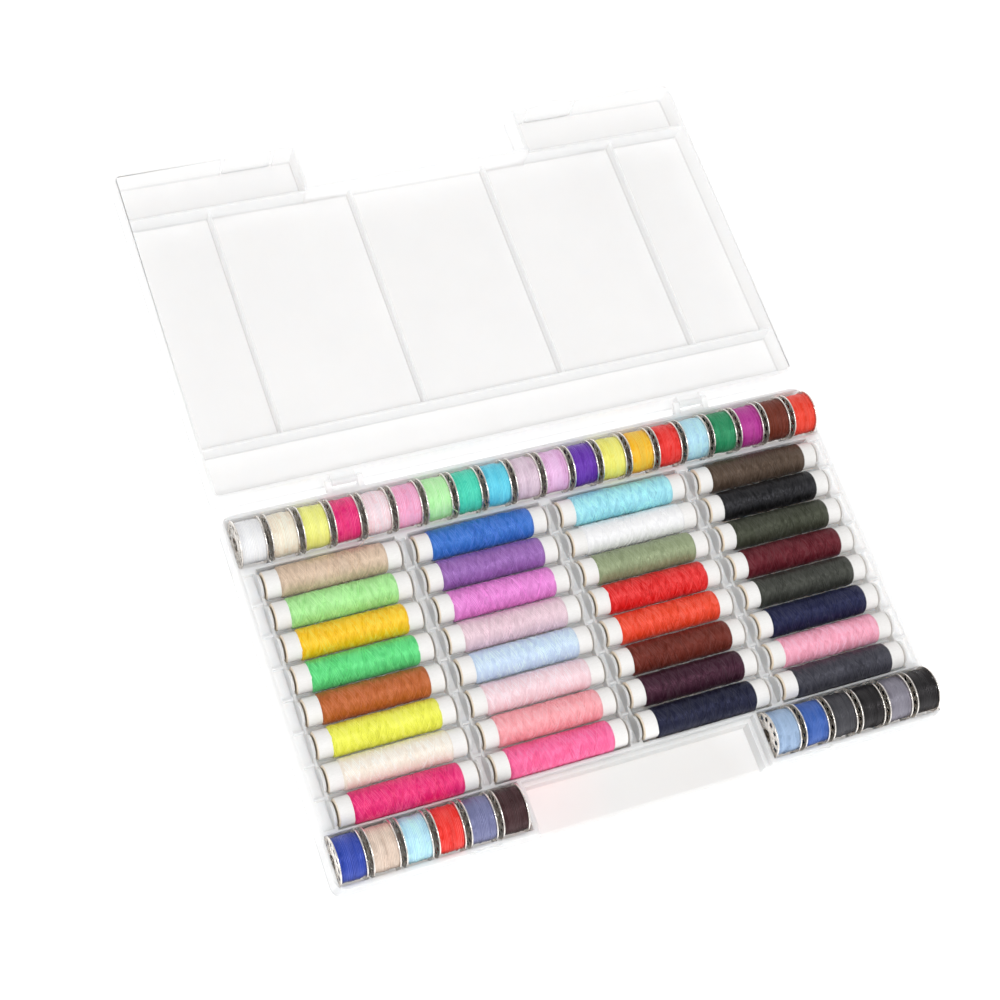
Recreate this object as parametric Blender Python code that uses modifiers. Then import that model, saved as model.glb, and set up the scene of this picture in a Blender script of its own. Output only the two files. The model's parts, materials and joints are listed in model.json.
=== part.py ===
"""Sewing thread box, lid folded open flat behind the tray.

A shallow frosted polypropylene tray holds 32 thread spools in four columns of
eight cradles, and 32 metal bobbins in a back trough and two front troughs. The
lid hangs on two clip hinges and has two sprung latch tabs in its front wall.

Frame: metres, +Z up. The origin is on the table, below the middle of the hinge
line. The tray lies towards -Y and the open lid towards +Y.
"""

import math

import bmesh
import bpy

# ---- driving dimensions -------------------------------------------------
WIDTH = 0.280               # tray and lid, along X
DEPTH = 0.166               # tray and lid, along Y
HINGE_GAP = 0.0078          # between the tray's back face and the open lid's
TRAY_H = 0.013
LID_H = 0.014
RIM_GAP = 0.0003            # left between the two rims when closed
CORNER_R = 0.005
SIDE_T = 0.0016             # side wall thickness
FRONT_T = 0.0020
BACK_T = 0.0018
FLOOR_T = 0.0015
LID_TOP_T = 0.0018
LID_INNER_R = 0.0018        # tighter than the outside, to clear the corner bobbins

HINGE_Z = (TRAY_H + LID_H + RIM_GAP) / 2
TRAY_FRONT = -DEPTH - HINGE_GAP / 2
TRAY_BACK = -HINGE_GAP / 2
LEFT = -WIDTH / 2

# spools
COLUMNS, ROWS = 4, 8
COLUMN_PITCH = 0.0673
ROW_PITCH = 0.0144
SPOOL_LENGTH = 0.060
TUBE_R, BORE_R = 0.0060, 0.0042
THREAD_R, THREAD_MARGIN = 0.00675, 0.0064
SPOOL_Z = 0.0120
FIRST_ROW_Y = TRAY_FRONT + 0.0312       # the row nearest the front
SPOOL_SIDES = 10
CRADLE_GAP = 0.0003
END_GAP = 0.0008
LOBE_T, LOBE_R = 0.0012, 0.0054         # arched end walls beside the spools
RIB_TOP = 0.0084                        # ridges between neighbouring cradles
FIELD_FRONT, FIELD_BACK = 0.0071, 0.0079    # cradle field past its end rows' axes

# bobbins
BOBBIN_R, BOBBIN_W, BOBBIN_BORE = 0.01025, 0.0116, 0.0030
FLANGE_T, WOUND_R, HUB_R = 0.0006, 0.0094, 0.0042
BOBBIN_PITCH = 0.01384
BOBBIN_Z = FLOOR_T + 0.0003 + BOBBIN_R
BOBBIN_SIDES = 12
FRONT_BOBBIN_Y = TRAY_FRONT + 0.0126
BACK_BOBBIN_Y = TRAY_FRONT + 0.1528
BACK_FIRST_X = LEFT + 0.0032            # left faces of the first bobbins
LEFT_FIRST_X = LEFT + 0.0020
RIGHT_FIRST_X = LEFT + 0.1970
COMB_T, COMB_H = 0.0010, 0.0050         # low ribs that keep the bobbins apart

# hand-hold in the tray's front and the notch above it in the lid
NOTCH_X0, NOTCH_X1 = LEFT + 0.0864, LEFT + 0.1945
NOTCH_DEPTH = 0.0226
NOTCH_T = 0.0018

# hinges and latches, as offsets left and right of the middle
HINGE_X, HINGE_W = 0.0835, 0.0170
PIN_R, KNUCKLE_BORE, KNUCKLE_R = 0.0008, 0.0010, 0.0017
LATCH_X, LATCH_W, SLIT = 0.0765, 0.0230, 0.0010
HOOK_W, HOOK_REACH = 0.0120, 0.0022

SPOOL_COLOURS = (
    (("tan", (0.40, 0.27, 0.17)), ("light_green", (0.10, 0.62, 0.16)),
     ("golden_yellow", (0.90, 0.45, 0.02)), ("green", (0.06, 0.52, 0.15)),
     ("caramel", (0.55, 0.22, 0.06)), ("lemon", (0.80, 0.78, 0.05)),
     ("cream", (0.85, 0.80, 0.62)), ("magenta", (0.70, 0.03, 0.25))),
    (("royal_blue", (0.02, 0.10, 0.45)), ("purple", (0.20, 0.07, 0.36)),
     ("orchid", (0.62, 0.14, 0.50)), ("mauve", (0.60, 0.42, 0.52)),
     ("light_blue", (0.42, 0.58, 0.85)), ("pale_pink", (0.82, 0.50, 0.58)),
     ("salmon", (0.88, 0.25, 0.27)), ("hot_pink", (0.88, 0.03, 0.28))),
    (("pale_cyan", (0.45, 0.72, 0.85)), ("white", (0.85, 0.85, 0.86)),
     ("sage", (0.25, 0.38, 0.22)), ("red", (0.60, 0.01, 0.01)),
     ("orange", (0.85, 0.16, 0.02)), ("red_brown", (0.24, 0.04, 0.02)),
     ("plum", (0.06, 0.01, 0.04)), ("dark_navy", (0.01, 0.015, 0.05))),
    (("taupe", (0.10, 0.07, 0.055)), ("black", (0.008, 0.008, 0.010)),
     ("dark_olive", (0.04, 0.05, 0.03)), ("burgundy", (0.12, 0.01, 0.02)),
     ("forest", (0.01, 0.04, 0.03)), ("navy", (0.01, 0.02, 0.09)),
     ("pink", (0.80, 0.20, 0.38)), ("slate", (0.05, 0.06, 0.07))),
)
BACK_BOBBIN_COLOURS = (
    ("white", (0.85, 0.86, 0.90)), ("beige", (0.72, 0.56, 0.36)),
    ("light_yellow", (0.85, 0.85, 0.15)), ("magenta", (0.60, 0.02, 0.12)),
    ("light_pink", (0.85, 0.45, 0.50)), ("pink", (0.85, 0.25, 0.42)),
    ("light_green", (0.40, 0.75, 0.32)), ("teal", (0.03, 0.48, 0.42)),
    ("sky_blue", (0.05, 0.36, 0.66)), ("mauve", (0.55, 0.38, 0.50)),
    ("orchid", (0.60, 0.14, 0.48)), ("dark_purple", (0.12, 0.03, 0.20)),
    ("pale_yellow", (0.82, 0.80, 0.30)), ("golden_yellow", (0.90, 0.48, 0.03)),
    ("red", (0.62, 0.02, 0.03)), ("light_blue", (0.25, 0.52, 0.82)),
    ("green", (0.02, 0.25, 0.07)), ("violet", (0.36, 0.03, 0.30)),
    ("brown", (0.13, 0.05, 0.03)), ("orange_red", (0.75, 0.05, 0.02)),
)
FRONT_GROUPS = (
    ("bobbins_front_left_outer", LEFT_FIRST_X, (0.10, 0.14, 0.36)),
    ("bobbins_front_left_inner", LEFT_FIRST_X + 3 * BOBBIN_PITCH, (0.16, 0.10, 0.10)),
    ("bobbins_front_right_inner", RIGHT_FIRST_X, (0.08, 0.22, 0.45)),
    ("bobbins_front_right_outer", RIGHT_FIRST_X + 3 * BOBBIN_PITCH, (0.03, 0.03, 0.03)),
)


# ---- scene helpers --------------------------------------------------------
def clear_scene():
    for obj in list(bpy.data.objects):
        bpy.data.objects.remove(obj, do_unlink=True)


def new_collection(name):
    found = bpy.data.collections.new(name)
    bpy.context.scene.collection.children.link(found)
    return found


def material(name, colour, roughness, metallic=0.0, transmission=0.0):
    made = bpy.data.materials.new(name)
    made.use_nodes = True
    shader = made.node_tree.nodes["Principled BSDF"]
    shader.inputs["Base Color"].default_value = (*colour, 1.0)
    shader.inputs["Roughness"].default_value = roughness
    shader.inputs["Metallic"].default_value = metallic
    shader.inputs["Transmission Weight"].default_value = transmission
    made.diffuse_color = (*colour, 1.0)
    return made


def object_from(bm, name, collection, look=None, at=(0, 0, 0)):
    """Turns a bmesh in world coordinates into an object whose origin is at `at`."""
    bmesh.ops.recalc_face_normals(bm, faces=bm.faces)
    bmesh.ops.translate(bm, verts=bm.verts, vec=[-c for c in at])
    mesh = bpy.data.meshes.new(name)
    bm.to_mesh(mesh)
    bm.free()
    obj = bpy.data.objects.new(name, mesh)
    obj.location = at
    collection.objects.link(obj)
    if look:
        mesh.materials.append(look)
    return obj


def add_box(bm, low, high):
    made = bmesh.ops.create_cube(bm, size=1.0)["verts"]
    size = [h - l for l, h in zip(low, high)]
    bmesh.ops.scale(bm, verts=made, vec=size)
    bmesh.ops.translate(bm, verts=made, vec=[(l + h) / 2 for l, h in zip(low, high)])


def add_prism(bm, outline, place, vector):
    """Fills an outline, given as 2D points that `place` puts in space, and extrudes it."""
    face = bm.faces.new([bm.verts.new(place(*p)) for p in outline])
    grown = bmesh.ops.extrude_face_region(bm, geom=[face])
    moved = [v for v in grown["geom"] if isinstance(v, bmesh.types.BMVert)]
    bmesh.ops.translate(bm, verts=moved, vec=vector)


def piece(name, collection, shape, *numbers):
    """An object from one shape function."""
    bm = bmesh.new()
    shape(bm, *numbers)
    return object_from(bm, name, collection)


def boolean(target, operation, tool):
    tool.hide_render = True
    tool.display_type = "WIRE"
    made = target.modifiers.new(f"{operation.lower()} {tool.name}", "BOOLEAN")
    made.operation = operation
    made.solver = "EXACT"
    made.object = tool


def box_tool(name, low, high):
    return piece(name, TOOLS, add_box, low, high)


def prism_tool(name, outline, place, vector):
    return piece(name, TOOLS, add_prism, outline, place, vector)


def arc(cx, cy, radius, start_deg, end_deg, steps):
    return [
        (cx + radius * math.cos(math.radians(a)), cy + radius * math.sin(math.radians(a)))
        for a in (start_deg + (end_deg - start_deg) * i / steps for i in range(steps + 1))
    ]


# ---- outlines -------------------------------------------------------------
def rounded_outline(x0, x1, y0, y1, radius, steps=4):
    points = []
    for cx, cy, start in (
        (x1 - radius, y0 + radius, -90), (x1 - radius, y1 - radius, 0),
        (x0 + radius, y1 - radius, 90), (x0 + radius, y0 + radius, 180),
    ):
        points += arc(cx, cy, radius, start, start + 90, steps)
    return points


def notched_outline(x0, x1, y0, y1, n0, n1, notch_y, radius, steps=4):
    """A rounded rectangle with a rectangular notch in its far (+Y) side."""
    points = arc(x0 + radius, y0 + radius, radius, 180, 270, steps)
    points += arc(x1 - radius, y0 + radius, radius, 270, 360, steps)
    points += arc(x1 - radius, y1 - radius, radius, 0, 90, steps)
    points += [(n1, y1), (n1, notch_y), (n0, notch_y), (n0, y1)]
    points += arc(x0 + radius, y1 - radius, radius, 90, 180, steps)
    return points


def row_y(row):
    return FIRST_ROW_Y + row * ROW_PITCH


def cradle_outline(top):
    """The space over eight cradles, seen along X: arcs below, flat above."""
    radius = THREAD_R + CRADLE_GAP
    half = math.degrees(math.asin((SPOOL_Z - RIB_TOP) / radius))
    points = []
    for row in range(ROWS):
        points += arc(row_y(row), SPOOL_Z, radius, 180 + half, 360 - half, 6)
    front, back = row_y(0) - FIELD_FRONT, row_y(ROWS - 1) + FIELD_BACK
    return points + [(back, RIB_TOP), (back, top), (front, top), (front, RIB_TOP)]


def lobe_outline(bottom, shoulder):
    """An end wall seen along X: a low wall with an arch behind each spool."""
    rise = shoulder - SPOOL_Z
    start = math.degrees(math.asin(rise / LOBE_R))
    points = [(row_y(ROWS - 1) + ROW_PITCH / 2, bottom),
              (row_y(ROWS - 1) + ROW_PITCH / 2, shoulder)]
    for row in reversed(range(ROWS)):
        points += arc(row_y(row), SPOOL_Z, LOBE_R, start, 180 - start, 10)
    return points + [(row_y(0) - ROW_PITCH / 2, shoulder), (row_y(0) - ROW_PITCH / 2, bottom)]


def comb_outline(edges, bottom, rib_top, top, rib_t):
    """A space with thin upright ribs standing on its floor, at the inner edges."""
    points = [(edges[0], bottom)]
    for edge in edges[1:-1]:
        points += [(edge - rib_t / 2, bottom), (edge - rib_t / 2, rib_top),
                   (edge + rib_t / 2, rib_top), (edge + rib_t / 2, bottom)]
    return points + [(edges[-1], bottom), (edges[-1], top), (edges[0], top)]


def along_x(x):
    return lambda y, z: (x, y, z)


def along_y(y):
    return lambda x, z: (x, y, z)


def along_z(z):
    return lambda x, y: (x, y, z)


# ---- the tray ---------------------------------------------------------------
def column_x(column):
    """The left end of a column of spools."""
    span = (COLUMNS - 1) * COLUMN_PITCH + SPOOL_LENGTH
    return -span / 2 + column * COLUMN_PITCH


def cut_bobbin_trough(tray, name, first_x, count, x0, x1, y0, y1):
    edges = [x0] + [
        first_x + i * BOBBIN_PITCH - (BOBBIN_PITCH - BOBBIN_W) / 2 for i in range(1, count)
    ] + [x1]
    outline = comb_outline(edges, FLOOR_T, FLOOR_T + COMB_H, 0.03, COMB_T)
    boolean(tray, "DIFFERENCE", prism_tool(name, outline, along_y(y0), (0, y1 - y0, 0)))


def cut_spool_cradles(tray):
    for column in range(COLUMNS):
        x0 = column_x(column) - END_GAP
        length = SPOOL_LENGTH + 2 * END_GAP
        tool = prism_tool(f"cradles_{column + 1}", cradle_outline(0.03), along_x(x0), (length, 0, 0))
        boolean(tray, "DIFFERENCE", tool)
        # a pocket below keeps the moulding thin
        low = SPOOL_Z - THREAD_R - CRADLE_GAP - FLOOR_T
        pocket = box_tool(
            f"underside_{column + 1}",
            (x0 + 0.003, row_y(0) - 0.005, -0.01), (x0 + length - 0.003, row_y(ROWS - 1) + 0.005, low),
        )
        boolean(tray, "DIFFERENCE", pocket)


def add_end_walls(tray):
    outline = lobe_outline(0.006, SPOOL_Z + 0.0003)
    for column in range(COLUMNS):
        for side, x in (("left", column_x(column) - END_GAP - LOBE_T),
                        ("right", column_x(column) + SPOOL_LENGTH + END_GAP)):
            wall = prism_tool(f"end_wall_{column + 1}_{side}", outline, along_x(x), (LOBE_T, 0, 0))
            boolean(tray, "UNION", wall)


def cut_divider_channels(tray):
    """Channels between the end walls, bridged by a cross rib at each row boundary."""
    edges = [row_y(row) - ROW_PITCH / 2 for row in range(ROWS + 1)]
    edges[0] += 0.0010
    edges[-1] -= 0.0010
    outline = comb_outline(edges, 0.0100, 0.0122, 0.03, 0.0012)
    wall = END_GAP + LOBE_T
    spans = [(LEFT + SIDE_T + 0.0006, column_x(0) - wall),
             (column_x(COLUMNS - 1) + SPOOL_LENGTH + wall, -LEFT - SIDE_T - 0.0006)]
    for column in range(COLUMNS - 1):
        spans.append((column_x(column) + SPOOL_LENGTH + wall, column_x(column + 1) - wall))
    for number, (x0, x1) in enumerate(spans, 1):
        tool = prism_tool(f"channel_{number}", outline, along_x(x0), (x1 - x0, 0, 0))
        boolean(tray, "DIFFERENCE", tool)


def cut_hand_hold(tray):
    back = TRAY_FRONT + NOTCH_DEPTH
    boolean(tray, "DIFFERENCE", box_tool(
        "hand_hold_upper", (NOTCH_X0, TRAY_FRONT - 0.01, 0.0090), (NOTCH_X1, back, 0.03)))
    boolean(tray, "DIFFERENCE", box_tool(
        "hand_hold_lower", (NOTCH_X0 + 0.002, TRAY_FRONT - 0.01, 0.0022),
        (NOTCH_X1 - 0.002, back - 0.002, 0.0100)))
    lip = [(TRAY_FRONT - 0.001, 0.0004), (TRAY_FRONT + 0.0026, 0.0030), (TRAY_FRONT - 0.001, 0.0030)]
    boolean(tray, "DIFFERENCE", prism_tool(
        "hand_hold_lip", lip, along_x(NOTCH_X0 + 0.002), (NOTCH_X1 - NOTCH_X0 - 0.004, 0, 0)))


def cut_latch_pockets(tray):
    """Pockets in the front wall that take the latch hooks, each with a catch ridge."""
    y0 = TRAY_FRONT
    outline = [(y0 - 0.001, 0.0102), (y0 + 0.0011, 0.0102), (y0 + 0.0011, 0.0119),
               (y0 + 0.0007, 0.0121), (y0 + 0.0007, 0.0127), (y0 + 0.0011, 0.0140),
               (y0 - 0.001, 0.0140)]
    for side, centre in (("left", -LATCH_X), ("right", LATCH_X)):
        width = HOOK_W + 0.002
        tool = prism_tool(f"latch_pocket_{side}", outline, along_x(centre - width / 2), (width, 0, 0))
        boolean(tray, "DIFFERENCE", tool)


def add_tray_hinges(tray):
    """Two lugs and the pin between them, at each hinge."""
    lug_w = 0.0026
    for side, centre in (("left", -HINGE_X), ("right", HINGE_X)):
        x0, x1 = centre - HINGE_W / 2, centre + HINGE_W / 2
        lug = [(TRAY_BACK - 0.0008, 0.0085)] + arc(0, HINGE_Z, KNUCKLE_R, -60, 90, 5) \
            + [(TRAY_BACK - 0.0002, TRAY_H - 0.0001), (TRAY_BACK - 0.0008, TRAY_H - 0.0001)]
        for end, x in (("a", x0), ("b", x1 - lug_w)):
            tool = prism_tool(f"lug_{side}_{end}", lug, along_x(x), (lug_w, 0, 0))
            boolean(tray, "UNION", tool)
        pin = prism_tool(f"pin_{side}", arc(0, HINGE_Z, PIN_R, 0, 324, 9),
                         along_x(x0 + 0.0005), (HINGE_W - 0.001, 0, 0))
        boolean(tray, "UNION", pin)


def make_tray():
    bm = bmesh.new()
    outline = rounded_outline(LEFT, -LEFT, TRAY_FRONT, TRAY_BACK, CORNER_R)
    add_prism(bm, outline, along_z(0.0), (0, 0, TRAY_H))
    tray = object_from(bm, "base_tray", PARTS, FROSTED)
    cut_spool_cradles(tray)
    add_end_walls(tray)
    cut_divider_channels(tray)
    cut_bobbin_trough(tray, "back_trough", BACK_FIRST_X, 20, LEFT + SIDE_T, -LEFT - SIDE_T,
                      TRAY_FRONT + 0.1414, TRAY_BACK - BACK_T)
    cut_bobbin_trough(tray, "front_trough_left", LEFT_FIRST_X, 6, LEFT + SIDE_T,
                      NOTCH_X0 - NOTCH_T, TRAY_FRONT + FRONT_T, TRAY_FRONT + 0.0232)
    cut_bobbin_trough(tray, "front_trough_right", RIGHT_FIRST_X, 6, NOTCH_X1 + NOTCH_T,
                      -LEFT - SIDE_T, TRAY_FRONT + FRONT_T, TRAY_FRONT + 0.0232)
    cut_hand_hold(tray)
    cut_latch_pockets(tray)
    add_tray_hinges(tray)
    return tray


# ---- the lid ------------------------------------------------------------------
def make_lid():
    y0, y1 = -TRAY_BACK, -TRAY_FRONT
    notch_y = y1 - NOTCH_DEPTH
    bm = bmesh.new()
    outline = notched_outline(LEFT, -LEFT, y0, y1, NOTCH_X0, NOTCH_X1, notch_y, CORNER_R)
    add_prism(bm, outline, along_z(0.0), (0, 0, LID_H))
    lid = object_from(bm, "lid", PARTS, FROSTED, at=(0, 0, HINGE_Z))
    inner = notched_outline(
        LEFT + SIDE_T, -LEFT - SIDE_T, y0 + BACK_T, y1 - SIDE_T,
        NOTCH_X0 - NOTCH_T, NOTCH_X1 + NOTCH_T, notch_y - NOTCH_T, LID_INNER_R)
    boolean(lid, "DIFFERENCE", prism_tool("lid_hollow", inner, along_z(LID_TOP_T), (0, 0, 0.03)))
    add_lid_ribs(lid, y0, y1)
    for side, centre in (("left", -LATCH_X), ("right", LATCH_X)):
        half = LATCH_W / 2 + SLIT
        boolean(lid, "DIFFERENCE", box_tool(
            f"latch_window_{side}", (centre - half, y1 - SIDE_T - 0.001, LID_TOP_T),
            (centre + half, y1 + 0.001, 0.03)))
        add_lid_knuckle(lid, side, HINGE_X if side == "right" else -HINGE_X)
    return lid


def add_lid_ribs(lid, y0, y1):
    """One rib near the hinge wall, one in line with the notch, four between them."""
    half, top, sunk = 0.0006, 0.0112, 0.0010
    back_y, front_y = y0 + 0.0250, y1 - NOTCH_DEPTH - NOTCH_T / 2
    boxes = [
        ("rib_hinge_side", LEFT + 0.001, -LEFT - 0.001, back_y - half, back_y + half, top),
        ("rib_front_left", LEFT + 0.001, NOTCH_X0 - 0.001, front_y - half, front_y + half, top),
        ("rib_front_right", NOTCH_X1 + 0.001, -LEFT - 0.001, front_y - half, front_y + half, top),
    ]
    for column in range(COLUMNS):
        x = column_x(column) + SPOOL_LENGTH / 2
        boxes.append((f"rib_column_{column + 1}", x - half, x + half,
                      back_y + 0.0002, front_y - 0.0002, 0.0076))
    for name, xa, xb, ya, yb, high in boxes:
        boolean(lid, "UNION", box_tool(name, (xa, ya, sunk), (xb, yb, high)))


def add_lid_knuckle(lid, side, centre):
    half = HINGE_W / 2 - 0.0026 - 0.0003
    wall = -TRAY_BACK
    arm = arc(0, HINGE_Z, KNUCKLE_R, 30, 300, 9) + [(wall + 0.0008, 0.0092), (wall + 0.0008, LID_H - 0.0001)]
    boolean(lid, "UNION", prism_tool(
        f"knuckle_{side}", arm, along_x(centre - half), (2 * half, 0, 0)))
    boolean(lid, "DIFFERENCE", prism_tool(
        f"knuckle_bore_{side}", arc(0, HINGE_Z, KNUCKLE_BORE, 0, 324, 9),
        along_x(centre - half - 0.002), (2 * half + 0.004, 0, 0)))


def make_latch(side, centre):
    """A sprung tab in the lid's front wall, with a hook that drops into the tray's pocket."""
    y1 = -TRAY_FRONT
    root = LID_TOP_T + 0.0003
    bm = bmesh.new()
    add_box(bm, (centre - LATCH_W / 2, y1 - 0.0014, root), (centre + LATCH_W / 2, y1, LID_H))
    tab = object_from(bm, f"latch_tab_{side}", PARTS, FROSTED, at=(centre, y1 - 0.0007, root))
    tip = LID_H + HOOK_REACH
    hook = [(y1 - 0.0004, LID_H - 0.002), (y1, LID_H - 0.002), (y1, tip), (y1 - 0.0006, tip),
            (y1 - 0.0009, tip - 0.0003), (y1 - 0.0009, tip - 0.0007), (y1 - 0.0004, tip - 0.0010)]
    boolean(tab, "UNION", prism_tool(
        f"hook_{side}", hook, along_x(centre - HOOK_W / 2), (HOOK_W, 0, 0)))
    return tab


# ---- spools and bobbins ---------------------------------------------------------
def turned(name, profile, sides, look, at):
    """A ring profile of (radius, height) turned about Z, then laid along X."""
    mesh = bpy.data.meshes.new(name)
    count = len(profile)
    mesh.from_pydata([(r, 0.0, z) for r, z in profile],
                     [(i, (i + 1) % count) for i in range(count)], [])
    obj = bpy.data.objects.new(name, mesh)
    mesh.materials.append(look)
    PARTS.objects.link(obj)
    obj.location = at
    obj.rotation_euler = (0.0, math.radians(90), 0.0)
    screw = obj.modifiers.new("turned", "SCREW")
    screw.angle = math.radians(360)
    screw.steps = screw.render_steps = sides
    screw.use_merge_vertices = True
    screw.merge_threshold = 0.00001
    screw.use_smooth_shade = False
    return obj


def spool_profile():
    half = SPOOL_LENGTH / 2
    wound = half - THREAD_MARGIN
    return [(BORE_R, half), (TUBE_R, half), (TUBE_R, wound), (THREAD_R, wound),
            (THREAD_R, -wound), (TUBE_R, -wound), (TUBE_R, -half), (BORE_R, -half)]


def bobbin_profile(count):
    """One bobbin, or several on one row joined by short sleeves at their hubs."""
    half = (count - 1) * BOBBIN_PITCH / 2 + BOBBIN_W / 2
    points = [(BOBBIN_BORE, half)]
    for number in range(count):
        top = half - number * BOBBIN_PITCH
        low = top - BOBBIN_W
        if number:
            points.append((HUB_R, top))
        points += [(BOBBIN_R, top), (BOBBIN_R, top - FLANGE_T), (WOUND_R, top - FLANGE_T),
                   (WOUND_R, low + FLANGE_T), (BOBBIN_R, low + FLANGE_T), (BOBBIN_R, low)]
        if number < count - 1:
            points.append((HUB_R, low))
    return points + [(BOBBIN_BORE, -half)]


def make_spools():
    for column, colours in enumerate(SPOOL_COLOURS):
        for number, (name, colour) in enumerate(colours):
            look = material(f"thread {name}", colour, 0.55)
            at = (column_x(column) + SPOOL_LENGTH / 2, row_y(ROWS - 1 - number), SPOOL_Z)
            turned(f"spool_{name}", spool_profile(), SPOOL_SIDES, look, at)


def make_bobbins():
    for number, (name, colour) in enumerate(BACK_BOBBIN_COLOURS):
        look = material(f"bobbin thread {name}", colour, 0.5)
        x = BACK_FIRST_X + number * BOBBIN_PITCH + BOBBIN_W / 2
        turned(f"bobbin_{name}", bobbin_profile(1), BOBBIN_SIDES, look,
               (x, BACK_BOBBIN_Y, BOBBIN_Z))
    for name, first_x, colour in FRONT_GROUPS:
        look = material(f"{name} thread", colour, 0.5)
        x = first_x + BOBBIN_PITCH + BOBBIN_W / 2
        turned(name, bobbin_profile(3), BOBBIN_SIDES, look, (x, FRONT_BOBBIN_Y, BOBBIN_Z))


clear_scene()
PARTS = new_collection("sewing box with trays")
TOOLS = new_collection("cutters")
FROSTED = material("frosted polypropylene", (0.86, 0.87, 0.87), 0.45, transmission=0.4)
make_tray()
make_lid()
make_latch("left", -LATCH_X)
make_latch("right", LATCH_X)
make_spools()
make_bobbins()
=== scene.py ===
"""Sewing thread box with its lid folded open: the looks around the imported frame.

The frame gives the place and size of every part. The frosted tray, lid and latch
tabs are copies of their nodes with rounded edges. Each spool and bobbin is built
anew: paper tubes with cross-wound thread, and pierced nickel bobbins with thread.
Two small ledges close the hinges' gaps, as on the real case.
Metres, +Z up; the tray lies towards -Y and the open lid towards +Y.
"""
import json
import math

import bmesh
import bpy
import numpy as np
from mathutils import Euler, Matrix, Vector

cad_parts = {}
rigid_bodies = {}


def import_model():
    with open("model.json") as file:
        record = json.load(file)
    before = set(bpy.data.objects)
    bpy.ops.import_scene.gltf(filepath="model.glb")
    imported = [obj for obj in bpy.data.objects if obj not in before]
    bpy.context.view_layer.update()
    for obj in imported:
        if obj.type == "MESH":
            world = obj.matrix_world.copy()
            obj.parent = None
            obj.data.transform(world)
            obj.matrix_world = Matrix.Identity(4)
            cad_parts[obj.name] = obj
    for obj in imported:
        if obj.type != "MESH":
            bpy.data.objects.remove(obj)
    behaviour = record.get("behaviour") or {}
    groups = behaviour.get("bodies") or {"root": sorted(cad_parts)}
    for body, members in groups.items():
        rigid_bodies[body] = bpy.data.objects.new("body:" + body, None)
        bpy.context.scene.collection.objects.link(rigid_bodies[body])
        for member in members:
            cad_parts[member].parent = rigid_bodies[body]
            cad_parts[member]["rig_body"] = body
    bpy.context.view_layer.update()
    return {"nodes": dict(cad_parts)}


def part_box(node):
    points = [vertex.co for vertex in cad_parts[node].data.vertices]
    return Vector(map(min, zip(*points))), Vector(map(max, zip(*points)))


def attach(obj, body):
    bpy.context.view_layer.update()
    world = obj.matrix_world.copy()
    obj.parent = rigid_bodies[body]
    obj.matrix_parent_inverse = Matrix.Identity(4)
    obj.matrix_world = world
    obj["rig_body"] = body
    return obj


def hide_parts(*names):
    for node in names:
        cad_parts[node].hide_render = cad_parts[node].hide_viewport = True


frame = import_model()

MM = 0.001
TURN = 2 * math.pi

# ---- sizes that the frame's boxes don't give -------------------------------------------------
TUBE_R, BORE_R = 6.0 * MM, 4.2 * MM         # the paper tube of a spool
THREAD_MARGIN = 6.4 * MM                    # bare tube at each end
STRAND_R = 0.13 * MM                        # a single thread
PINK_GLOW_AT = (-0.046, -0.147, 0.004)          # painted pink glow: the pink thread's light through the plastic, painted into its colour
HAND_HOLD_SHADE_AT = (0.0, -0.172, 0.002)         # painted shade: the plastic is painted greyer around the hand hold
PAINTED_WALL_GLOW = 0.10                            # painted glow: emission standing in for light that comes through the thin walls
FACET_LANES = 13                            # strands across one facet of the cross winding
LOOSE_PER_SPOOL, LOOSE_PER_BOBBIN = 54, 7   # strands that lie across the others
HINGE_X = 83.5 * MM                         # each hinge's distance from the middle
BOBBIN_W, BOBBIN_PITCH = 11.6 * MM, 13.84 * MM
BOBBIN_BORE, BOBBIN_WOUND_R = 3.0 * MM, 9.35 * MM
FLANGE_T = 0.6 * MM
HOLES, HOLE_R, HOLE_AT = 12, 1.05 * MM, 7.7 * MM    # the ring of holes in a flange
SECTOR_SIDE = 4                             # mesh steps along a side of a flange's sector

# ---- thread colours --------------------------------------------------------------------------
SPOOL_THREADS = {
    "tan": (0.62, 0.47, 0.35), "light_green": (0.38, 0.80, 0.29),
    "golden_yellow": (0.97, 0.56, 0.005), "green": (0.10, 0.66, 0.20),
    "caramel": (0.45, 0.11, 0.02), "lemon": (0.86, 0.88, 0.08),
    "cream": (0.88, 0.79, 0.68), "magenta": (0.80, 0.015, 0.17),
    "royal_blue": (0.028, 0.15, 0.55), "purple": (0.28, 0.12, 0.40),
    "orchid": (0.74, 0.22, 0.62), "mauve": (0.72, 0.53, 0.60),
    "light_blue": (0.55, 0.68, 0.88), "pale_pink": (0.88, 0.62, 0.67),
    "salmon": (0.95, 0.36, 0.40), "hot_pink": (0.95, 0.12, 0.32),
    "pale_cyan": (0.33, 0.74, 0.87), "white": (0.90, 0.90, 0.92),
    "sage": (0.25, 0.30, 0.17), "red": (0.70, 0.008, 0.008),
    "orange": (0.82, 0.05, 0.012), "red_brown": (0.13, 0.02, 0.012),
    "plum": (0.035, 0.009, 0.02), "dark_navy": (0.008, 0.009, 0.024),
    "taupe": (0.075, 0.050, 0.035), "black": (0.003, 0.003, 0.0035),
    "dark_olive": (0.038, 0.042, 0.028), "burgundy": (0.10, 0.009, 0.016),
    "forest": (0.036, 0.038, 0.032), "navy": (0.010, 0.012, 0.042),
    "pink": (0.92, 0.37, 0.50), "slate": (0.038, 0.038, 0.050),
}
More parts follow.
